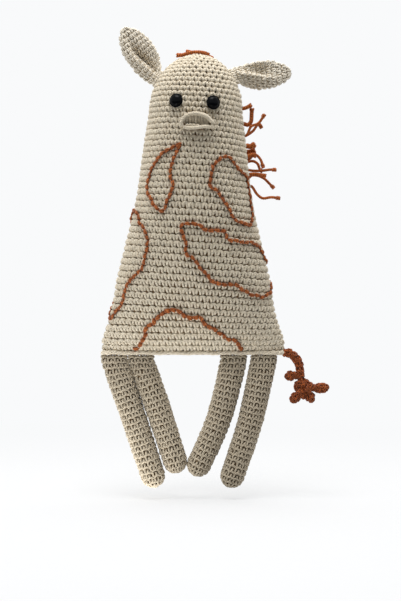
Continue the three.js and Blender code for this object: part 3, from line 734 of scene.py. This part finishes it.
muzzle = {
    "height": 167.1,
    "turn": 2.4,  # degrees round from the front
    "width": 22.5, "rise": 13.5, "rim": 5.5, "rimDrop": 0.75,
    "mouth": (3.0, -0.15, 0.12),  # depth, place and spread of the mouth's fold
    "tilt": 0.045,  # lower towards +X
    "overTop": [  # shares of the half width and half height, and lift
        (-0.97, -0.52, -1.1), (-1.04, -0.26, -1.1), (-0.91, 0.27, -1.1), (-0.63, 0.65, -1.1),
        (-0.29, 0.85, -1.1), (0.01, 0.87, -1.1), (0.3, 0.76, -1.1), (0.62, 0.6, -1.1),
        (0.83, 0.27, -1.1), (1.04, -0.12, -1.1)],
    "underLip": [
        (-0.87, -0.62, -0.9), (-0.53, -0.71, -0.6), (-0.1, -0.69, -0.5), (0.32, -0.55, -0.7),
        (0.58, -0.47, -0.9), (0.83, -0.52, -0.4), (1.04, -0.39, -0.8)],
    "rolls": {"overTop": (1.45, 6.0), "underLip": (1.2, 5.0)},  # radius and one turn of the plies
    "ply": 0.56,  # of the roll's radius
    "ribs": 10, "ribYarn": 1.05, "ribEnds": (-0.85, 0.88), "stagger": 0.55,
    "ribArch": (1.05, 0.72, -0.5),  # half width, height, and the ribs' feet
    "ribLift": (-3.1, -4.2, -0.8),  # at the top, at the foot, and more there by share to the right
    "loops": (-0.62, -0.42, -0.2, 0.04),  # small, along the lower lip
    "loop": [(-0.1, -0.52, -1.6), (-0.02, -0.28, -0.9), (0.08, -0.52, -1.4)],
    "loopYarn": 0.62,
    "wall": [(0.82, 2.0), (0.86, 0.5), (0.86, -1.0), (0.8, -1.8)],  # the cup's size, and how far back
    "bed": (0.7, 0.5, 0.3, 0.1),  # the mouth's bed, under the ribs
    "bedLift": -4.4, "bedTall": 0.9, "cupWide": 1.1,
}
muzzleFoot = bagSpot(muzzle["turn"], muzzle["height"])[0]
muzzleHalf = np.array([muzzle["width"] / 2, 0, muzzle["rise"] / 2])


# A spot on the muzzle, by such shares and lift towards the front
def muzzleSpot(u, v, lift):
    u, v = np.broadcast_arrays(u, v)
    s = np.clip(np.hypot(u, v), 0, 1)
    lip = muzzle["rim"] * np.sqrt(1 - muzzle["rimDrop"] * s ** 4)
    depth, line, spread = muzzle["mouth"]
    fold = depth * np.exp(-((v - line) ** 2) / spread) * (1 - s ** 2)
    tilted = v * muzzleHalf[2] - muzzle["tilt"] * u * muzzleHalf[0]
    return muzzleFoot + np.stack([u * muzzleHalf[0], fold - lip - lift, tilted], -1)


def muzzleYarn(spots, radius, count):
    middle, _ = route([muzzleSpot(*spot) for spot in spots], count)
    return yarnRings(middle[None], [0, -1, 0.02], radius, 8)


muzzleOwner = ("body", "cream_yarn", "muzzle")
lips = []
for roll, (radius, lay) in muzzle["rolls"].items():
    middle, length = route([muzzleSpot(*spot) for spot in muzzle[roll]], 70)
    turns = np.linspace(0, length, len(middle)) / lay
    ply = muzzle["ply"] * radius
    lips += twistedPlies(middle, *carriedSides(middle), turns, ply, ply, 7)
for u in muzzle["loops"]:
    loop = [(u + across, v, lift) for across, v, lift in muzzle["loop"]]
    lips.append(muzzleYarn(loop, muzzle["loopYarn"], 8))
lining = []
archWide, archTall, foot = muzzle["ribArch"]
topLift, footLift, more = muzzle["ribLift"]
for k in range(muzzle["ribs"]):  # they run down from the upper rim
    u = mix(*muzzle["ribEnds"], k / (muzzle["ribs"] - 1))
    top = math.sqrt(1 - (u / archWide) ** 2) * archTall
    deep = muzzle["stagger"] * (k % 2)
    rib = [(u, mix(top, foot, t), mix(topLift, footLift + more * u, t) - deep) for t in (0, 0.3, 0.6, 1)]
    lining.append(muzzleYarn(rib, muzzle["ribYarn"], 10))
yarnPiece("muzzle_lips", lips, creamCotton, *muzzleOwner)
yarnPiece("muzzle_lining", lining, creamCotton, *muzzleOwner)
# the cup behind the mouth, in a dark colour that is painted shade
turn = fullTurn(48)
right, up = muzzle["cupWide"] * np.cos(turn), np.sin(turn)
oval = np.stack([right, 0 * up, up], -1) * muzzleHalf
cup = [muzzleFoot + grow * oval + [0, back, 0] for grow, back in muzzle["wall"]]
for grow in muzzle["bed"]:
    cup.append(muzzleSpot(grow * right, muzzle["bedTall"] * grow * up, muzzle["bedLift"]))
skinPiece("muzzle_cup", np.array(cup), innerCottonShade, *muzzleOwner)
print("muzzle made")

eyes = {
    "height": 182.3,
    "tilt": 0.75,  # left one higher, right one lower
    "middle": -1.2,  # degrees round from the front
    "degrees": 22.0, "diameter": 10.5, "dome": 3.6,
    "sit": 0.85,  # the back, off the bag
    "bead": 0.5,  # the rounded edge
    "groove": (0.25, 0.18),  # in from the bead, and its depth
    "inner": 0.45,  # from the bead in to the dome
    "sides": {"left_eye": -1, "right_eye": 1},
}

# A safety eye's outside as (radius, height): back, rounded edge, groove and dome
bead, top = eyes["bead"], 2 * eyes["bead"]
rim = eyes["diameter"] / 2 - bead
eyeProfile = [(0.05, 0)]
eyeProfile += [(rim + bead * math.cos(a), bead * (1 + math.sin(a))) for a in np.linspace(-1.57, 1.57, 9)]
eyeProfile.append((rim - eyes["groove"][0], top - eyes["groove"][1]))
for a in np.linspace(0, 1.54, 16):
    eyeProfile.append(((rim - eyes["inner"]) * math.cos(a), top + (eyes["dome"] - top) * math.sin(a)))
for eye, hand in eyes["sides"].items():
    degrees = eyes["middle"] + hand * eyes["degrees"]
    spot, normal = bagSpot(degrees, eyes["height"] - hand * eyes["tilt"], eyes["sit"])
    right = unit(np.cross(normal, -upright))
    ring = circle(fullTurn(64), right, np.cross(right, normal))
    rings = np.array([spot + ring * r + normal * h for r, h in eyeProfile])
    skinPiece(eye + "_button", rings, eyePlastic, "body", "eye_plastic", eye)
print("eyes made")

patches = {
    "row": 222.0 / 44,
    "degree": np.pi * 88.5 / 360,  # millimetres, at the chest
    "lift": 0.35, "link": 4.6, "yarn": 1.5, "spread": 0.6,
    "stray": 0.8,  # links step from side to side, to the fabric's gaps
    "uneven": 0.12,
    # the dark strand under the links is painted shade, seen between them
    "sink": 0.35,  # of the dark loop under the links
    "open": {"hem_patch_arch": 1.2},  # an open chain is slack and lies fuller
    "marks": {  # (degrees round, rows up)
        "crescent_patch_outline": [
            (-15, 30), (-26, 29.3), (-40, 28.3), (-49, 26.8), (-54, 24), (-46, 22.2), (-34, 20.5),
            (-28, 20.5), (-25, 22.1), (-21, 24), (-25, 25.8), (-22, 27.9)],
        "shoulder_patch_outline": [
            (20, 27), (35, 28.3), (46, 27.4), (54, 26.4), (66, 25.8), (72, 24.2), (71, 21.8), (69, 19.8),
            (61, 18.6), (50, 18.6), (40, 19.2), (34, 20.8), (24, 23.1), (16, 24), (18, 25.2)],
        "flank_patch_outline": [
            (-11, 17.8), (-8, 18.4), (5, 18.2), (9, 17.6), (27, 17.4), (30, 16.3), (42, 16), (60, 15.8),
            (70, 15.1), (80, 13.8), (98, 13.1), (122, 12), (112, 10.6), (90, 9.8), (80, 9), (63, 8.1),
            (50, 8.1), (40, 8.7), (32, 9.6), (17, 9.8), (10, 11.1), (0, 13.4), (-6, 14.3), (-5, 15.5)],
        "chest_patch_outline": [
            (-92, 20), (-80, 20.7), (-67, 20.3), (-58, 19), (-48, 17.8), (-41, 16.3), (-41, 14.1),
            (-42, 12.1), (-50, 10.9), (-58, 9.4), (-60, 7.1), (-67, 5.7), (-76, 4.8), (-90, 5.7),
            (-112, 8.4), (-124, 12.2), (-118, 16.6)],
        "hem_patch_arch": [
            (-40, 0.2), (-37, 0.4), (-34.6, 1), (-32.8, 1.8), (-31.5, 2.5), (-31.5, 3.1), (-30, 3.6),
            (-27, 4), (-26, 4.7), (-23.5, 5.2), (-20.5, 5.7), (-17.5, 6), (-14.5, 6.1), (-11, 6),
            (-8, 5.7), (-5, 5.1), (-2, 4.9), (1, 4.8), (4, 5), (6, 4.8), (7.5, 4.3), (9.5, 3.8), (12, 3.3),
            (15, 2.9), (18, 2.5), (20, 2.3), (21, 1.9), (23, 1.6), (25.5, 1.7), (27.5, 1.5), (29, 0.8),
            (31, 0.3), (33, 0.2)],
    },
}


# Chain stitch: each link is a pair of strands that comes up, opens and goes under the next one
linkMarks = [(0.08, 0.1, -1.2), (0.16, 0.3, 0.0), (0.4, 0.85, 0.5), (0.66, 1.0, 0.4), (0.82, 0.6, -0.9)]
linkAlong, linkAcross, linkLift = route(linkMarks, 11)[0].T


def chainOnBag(marks, closed, slack):
    scale = np.array([patches["degree"], patches["row"]])
    flat, _ = route(np.array(marks, float) * scale, 400, closed)
    degrees, heights = (flat / [patches["degree"], 1]).T
    run = runningSum(stepsOf(bagSpot(degrees, heights)[0]))
    count = round(run[-1] / patches["link"])

    def spotAt(at):
        at = np.clip(at, 0, run[-1])
        return bagSpot(np.interp(at, run, degrees), np.interp(at, run, heights), patches["lift"])

    jitter = dice.normal(0, patches["uneven"], (count, 3))
    stray = dice.uniform(-1, 1, (count, 2)) * patches["stray"]
    at = (np.arange(count)[:, None] + linkAlong) * run[-1] / count
    middle, normal = spotAt(at)
    along = unit(spotAt(at + 0.5)[0] - spotAt(at - 0.5)[0])
    side = np.cross(normal, along)
    middle = middle + normal * (linkLift + jitter[:, :1] * 2)[:, :, None]
    links = []
    for k, hand in ((1, -1), (2, 1)):
        sway = hand * linkAcross * patches["spread"] * slack + mix(stray[:, :1], stray[:, 1:], linkAlong)
        thick = patches["yarn"] / 2 * slack * (1 + jitter[:, k:k + 1])
        links.append(yarnRings(middle + side * sway[:, :, None], normal, thick))
    # a dark strand under the links: painted shade, seen in the gaps between them
    middle, normal = spotAt(np.linspace(0, run[-1], count * 3 + 1)[None])
    return links, yarnRings(middle - normal * patches["sink"], normal, patches["yarn"] / 2)


for patch, marks in patches["marks"].items():
    links, bed = chainOnBag(marks, patch not in patches["open"], patches["open"].get(patch, 1.0))
    yarnPiece(patch + "_chain", links, rustCotton, "body", "rust_yarn", patch)
    yarnPiece(patch + "_bed", [bed], rustInnerShade, "body", "rust_yarn", patch)
print("patch outlines made")

mane = {
    "yarn": 2.1,
    "clumps": {  # thick strands, by share
        1: 1.4, 2: 1.5, 5: 1.9, 6: 1.9, 7: 1.6, 11: 1.25, 17: 1.35, 18: 1.35, 19: 1.2},
    "ply": (0.26, 0.29),  # offset and radius, in yarns
    "tipOpen": (2.5, 0.5),  # how far from its end it opens, and by what share
    "lay": 4.2,  # one turn of the plies
    "step": 0.6, "fewest": 14,  # points along a strand
    "knot": 0.95, "knotPly": 0.72, "knotTurns": 2.3,
    "knotRun": (0.3, 2.9),  # from the tip back
    "foot": -1.0, "root": 1.6,
    "neck": [  # (degrees round, rows up), then bends as (out, up) from the root
        (98, 36.07, (2.2, 0.7), (5.5, 2.4)),
        (103, 33.79, (2.8, -0.7), (5, 1.5), (5.6, 7.5), (5.8, 11.5)),
        (97, 32.01, (3.5, 6.8), (8.8, 9), (13.5, 15.8)),
        (104, 32.01, (5.8, 3.8), (10.3, 9.5), (12.4, 6)),
        (97, 30.42, (2, -0.5), (5, 1.2)),
        (106, 29.63, (2.5, 0), (6, 1.2)),
        (96, 28.94, (2.5, 0.8), (5, 0.3)),
        (102, 28.44, (5, 3.8), (8.8, 0.8), (11.5, -6)),
        (114, 28.14, (6.5, 1.1), (10, -1.1), (11.5, -4.9), (13.5, -7)),
        (103, 26.88, (2.8, -0.4), (9.5, -0.4), (15.5, 0.4), (20.5, 0.4)),
        (96, 26.22, (4.3, 0), (11.2, -1.3)),
        (112, 25.57, (3.5, 3), (8, 3), (13, 0.8), (17, -3), (20.5, -6.5)),
        (100, 24.44, (4.3, -6), (8.4, -9), (14.8, -8.3), (21.5, -9)),
    ],
    "nape": [
        (128, 38.05, (3.5, 0.5), (6, -2), (7, -6)),
        (136, 40.43, (4, 1.5), (7.5, 0), (9, -4)),
        (150, 42.02, (4.5, 2.5), (9, 2), (12, -1.5)),
    ],
    "crown": [  # (right, back) from the top's middle
        [(7, -5), (2, -4), (-5, -3.5), (-11, -4), (-15, -4.5)],
        [(9, 0), (4, -0.5), (-2, 0.5), (-8, 0)],
        [(12, 5), (7, 4.5), (1, 5), (-4, 5)],
    ],
    "crownLift": 1.3, "crownTip": 3.2,
}


# Three plies twisted together, ending in a slightly opened tip
def twistedYarn(points, thick):
    middle, length = route(points, max(mane["fewest"], int(route(points, 2)[1] / mane["step"])))
    run = np.linspace(0, length, len(middle))
    tip, wider = mane["tipOpen"]
    offset, radius = [part * thick for part in mane["ply"]]
    offset = offset * (1 + wider * smooth((run - length + tip) / tip))
    return twistedPlies(middle, *carriedSides(middle), run / mane["lay"], offset, radius, 6)


# The knot that ends a strand: turns of a ply round it, from its tip back
def knotCoil(tip, before):
    way = unit(before - tip)
    side = unit(np.cross(way, [0.2, 0.9, 0.3]))
    turn = np.linspace(0, 2 * np.pi * mane["knotTurns"], 40)
    coil = circle(turn, side, np.cross(way, side)) * mane["knot"]
    coil = coil + np.outer(np.linspace(*mane["knotRun"], len(turn)), way)
    return yarnRings((tip + coil)[None], unit(coil)[None], mane["knotPly"])


maneRoutes = []
for group in ("neck", "nape"):
    for degrees, row, *bends in mane[group]:
        spot, normal = bagSpot(degrees, row * patches["row"])
        out = np.array([1.0, 0, 0]) if group == "neck" else unit(normal * [1, 1, 0])
        root = spot + normal * mane["root"]
        bent = [root + out * a + upright * u for a, u in bends]
        maneRoutes.append([spot + normal * mane["foot"], root] + bent)
for line in mane["crown"]:
    spots = []
    for x, y in line:
        dome = math.sqrt(1 - (2 * x / body["widths"][-1]) ** 2 - (2 * y / body["depths"][-1]) ** 2)
        lift = mane["crownTip"] if (x, y) == line[-1] else mane["crownLift"]
        height = mix(browHeight, body["crown"], dome) + lift
        spots.append(np.array([x + body["crownOffset"], y, height]))
    maneRoutes.append(spots)
for number, points in enumerate(maneRoutes, 1):
    name = "mane_strand_%d" % number
    yarn = twistedYarn(points, mane["yarn"] * mane["clumps"].get(number, 1))
    yarn.append(knotCoil(points[-1], points[-2]))
    yarnPiece(name + "_yarn", yarn, maneCotton, "body", "rust_yarn", name)
print("mane strands", len(maneRoutes))

tail = {
    "root": (69.55, 0.0, -1.8),
    "path": [(0, 0), (2.4, -0.3), (5.2, -1.8), (8.6, -5.8), (10.6, -11.5), (10.9, -16.5)],
    "knot": (13.2, -26.7),
    "knotLoop": 1.7,  # of the knot's three loops
    "cord": 5.8,
    "neck": 5.0,  # the cord where it meets the knot
    "curl": 4.4, "tip": 6.8, "stitch": 5.2, "pitch": 4.2, "drift": 0.3, "yarn": 2.2, "inset": 1.2,
    "fewest": 3, "uneven": 0.07, "bed": -0.3, "bedRings": (40, 20), "points": 60,
    "swell": (2.2, -0.9),  # from its start's size to its end's
    "meet": 0.6,  # how far it runs into the knot
    "curls": {
        "tail_curl_side": ("cord", [(4.2, -17.2), (0, -18.5)]),
        "tail_curl_outer": ("knot", [(22.5, -26.6), (27, -26.4), (31.8, -26.2)]),
        "tail_curl_inner": ("knot", [(7.2, -33.7), (4.4, -36.9)]),
        "tail_curl_lower": ("knot", [(17.4, -32.3), (20.5, -36.4)]),
    },
}


def tailSpot(across, up):
    return np.array(tail["root"]) + [across, 0, up]


def crochetedCord(node, points, startSize, endSize):
    middle, _ = route(points, tail["points"])
    rate, start = tail["swell"]
    half = mix(startSize, endSize, smooth(np.linspace(0, 1, tail["points"]) * rate + start)) / 2
    fabric = tubeFabric(middle, squareTo(middle), half, half, tail["inset"])
    crochet(node, "_stitches_core", (tailCotton, rustInnerShade), tail, fabric, faceSide,
            "tail", "rust_yarn", node)


knotMiddle = tailSpot(*tail["knot"])
cordPoints = [tailSpot(*spot) for spot in tail["path"]]
cordEnd = cordPoints[-1]
cordPoints.append(mix(cordEnd, knotMiddle, tail["meet"]))
crochetedCord("tail_cord", cordPoints, tail["cord"], tail["neck"])
for curl, (start, spots) in tail["curls"].items():
    points = [knotMiddle if start == "knot" else cordEnd] + [tailSpot(*spot) for spot in spots]
    points[-1] = points[-1] + unit(points[-2] - points[-1]) * tail["tip"] / 2  # the tip's ball comes after
    crochetedCord(curl, points, tail["curl"], tail["tip"])
turn = np.linspace(0, 2 * np.pi, 40) + 0.5
trefoil = [np.sin(turn) + 2 * np.sin(2 * turn), -np.sin(3 * turn), np.cos(turn) - 2 * np.cos(2 * turn)]
knotPoints = knotMiddle + np.stack(trefoil, -1) * tail["knotLoop"]
crochetedCord("tail_knot", knotPoints, tail["neck"], tail["neck"])
print("tail made")

for washer in ("left_eye_washer", "right_eye_washer"):
    for materialSlot in frame["nodes"][washer].material_slots:
        materialSlot.material = washerPlastic

stage = {
    "floorDrop": 111.5,  # the toes, below the hem
    "white": "#F9FAFB",
    "sky": [  # along an axis, from and to, and the light there
        (1, -0.6, 0.0, 0.1, 1.12),  # the camera's side is a dim room
        (2, -1.0, 1.0, 0.85, 1.1),
        (0, -1.0, 1.0, 1.46, 1.28),
    ],
    "lamps": {  # place and aim in metres, width, length and watts
        "topLamp": ((-0.05, -0.3, 0.8), (0, 0, 0.05), 0.5, 0.5, 6.7),
        "lowLamp": ((-0.08, -0.12, -0.2195), (-0.05, -0.12, 1.0), 0.5, 0.12, 0.55),
    },
    "paper": 0.7,  # how pale it is, just below white
    "sheet": 6.0,  # metres from its middle to an edge
    "room": ((-0.45, 0.12), (-0.14, 0.55)),  # (place, brightness) towards a darker room
    "shade": (0.26, 0.45, 0.6),  # where it fades out, over what, and from what share
    "lens": (83.86, 36.0),  # and its sensor, in millimetres
    "camera": (5.625, 1050.0, -72.65),  # right, in front and up
}

floorMesh = bpy.data.meshes.new("floor")
floorLevel = (-stage["floorDrop"] - chestHeight) * mm
edge = stage["sheet"]
corners = [(x * edge, y * edge, floorLevel) for x, y in ((-1, -1), (1, -1), (1, 1), (-1, 1))]
floorMesh.from_pydata(corners, [], [(0, 1, 2, 3)])
floor = placed("floor", floorMesh)

scene.world = bpy.data.worlds.new("white_surround")
add = nodesOf(scene.world)
wayParts = add("SeparateXYZ", links={0: add("TexCoord").outputs["Generated"]})
shares = []
for axis, start, end, low, high in stage["sky"]:
    shares.append(add("MapRange", {"From Min": start, "From Max": end, "To Min": low, "To Max": high},
                      {"Value": wayParts.outputs[axis]}))
level = add("Math", times, {0: shares[0], 1: shares[1]})
level = add("Math", times, {0: level, 1: shares[2]})
rays = add("LightPath")
seen = add("Math", largest, {0: rays.outputs["Is Camera Ray"], 1: rays.outputs["Is Transmission Ray"]})
seen = add("Math", largest, {0: seen, 1: rays.outputs["Is Glossy Ray"]})
lit = add("Background", {"Color": linear("#FFFFFF")}, {"Strength": level})
shown = add("Background", {"Color": linear(stage["white"]), "Strength": 1.0})
both = add("MixShader", links={0: seen, 1: lit, 2: shown})
add("OutputWorld", links={"Surface": both})

paper = bpy.data.materials.new("paper_white_matt")  # seamless paper: matt, even, with a faint tooth
add = nodesOf(paper)
toothSize = 4  # millimetres
place = add("TexCoord").outputs["Object"]
tooth = add("TexNoise", {"Scale": 1 / (toothSize * mm)}, {"Vector": place})
shade = add("Mix", {**coloured, 6: linear("#F3F4F5"), 7: linear("#FAFAFA")}, {0: tooth})
floorParts = add("SeparateXYZ", links={0: place})
(roomFar, roomDark), (roomNear, roomPale) = stage["room"]
unlit = add("MapRange", {"From Min": roomFar, "From Max": roomNear, "To Min": roomDark, "To Max": roomPale},
            {"Value": floorParts.outputs[1]})
seen = add("LightPath").outputs["Is Camera Ray"]
paperSeen = add("Math", {"operation": "MULTIPLY", 1: stage["paper"]}, {0: seen})
unlit = add("Math", largest, {0: unlit, 1: paperSeen})
falling = add("Mix", tinting, {6: shade.outputs[2], 7: unlit})
matt = add("BsdfDiffuse", links={"Color": falling.outputs[2]})
glow = add("Emission", {"Color": linear(stage["white"]), "Strength": 1.0})
away = add("VectorMath", {"operation": "LENGTH"}, {0: place})
fadeStart, fadeRun, fadeFrom = stage["shade"]
fade = add("MapRange", {"From Min": fadeStart, "From Max": fadeStart + fadeRun, "To Min": fadeFrom},
           {"Value": away.outputs["Value"]})
lift = add("Math", times, {0: seen, 1: fade})
mixed = add("MixShader", links={0: lift, 1: matt, 2: glow})
add("OutputMaterial", links={"Surface": mixed})
floorMesh.materials.append(paper)

for lampName, (spot, aim, width, length, power) in stage["lamps"].items():
    lamp = placed(lampName, bpy.data.lights.new(lampName, "AREA"))
    lamp.data.shape = "RECTANGLE"
    lamp.data.size, lamp.data.size_y, lamp.data.energy = width, length, power
    lamp.location = spot
    lamp.rotation_euler = (Vector(aim) - Vector(spot)).to_track_quat("-Z", "Y").to_euler()
    lamp.visible_camera = False

camera = placed("camera", bpy.data.cameras.new("camera"))
camera.data.lens, camera.data.sensor_width = stage["lens"]
right, front, up = stage["camera"]
camera.location = (right * mm, (-backPlane - front) * mm, up * mm)
camera.rotation_euler = (math.pi / 2, 0, 0)
scene.camera = camera

scene.view_settings.view_transform = "Standard"
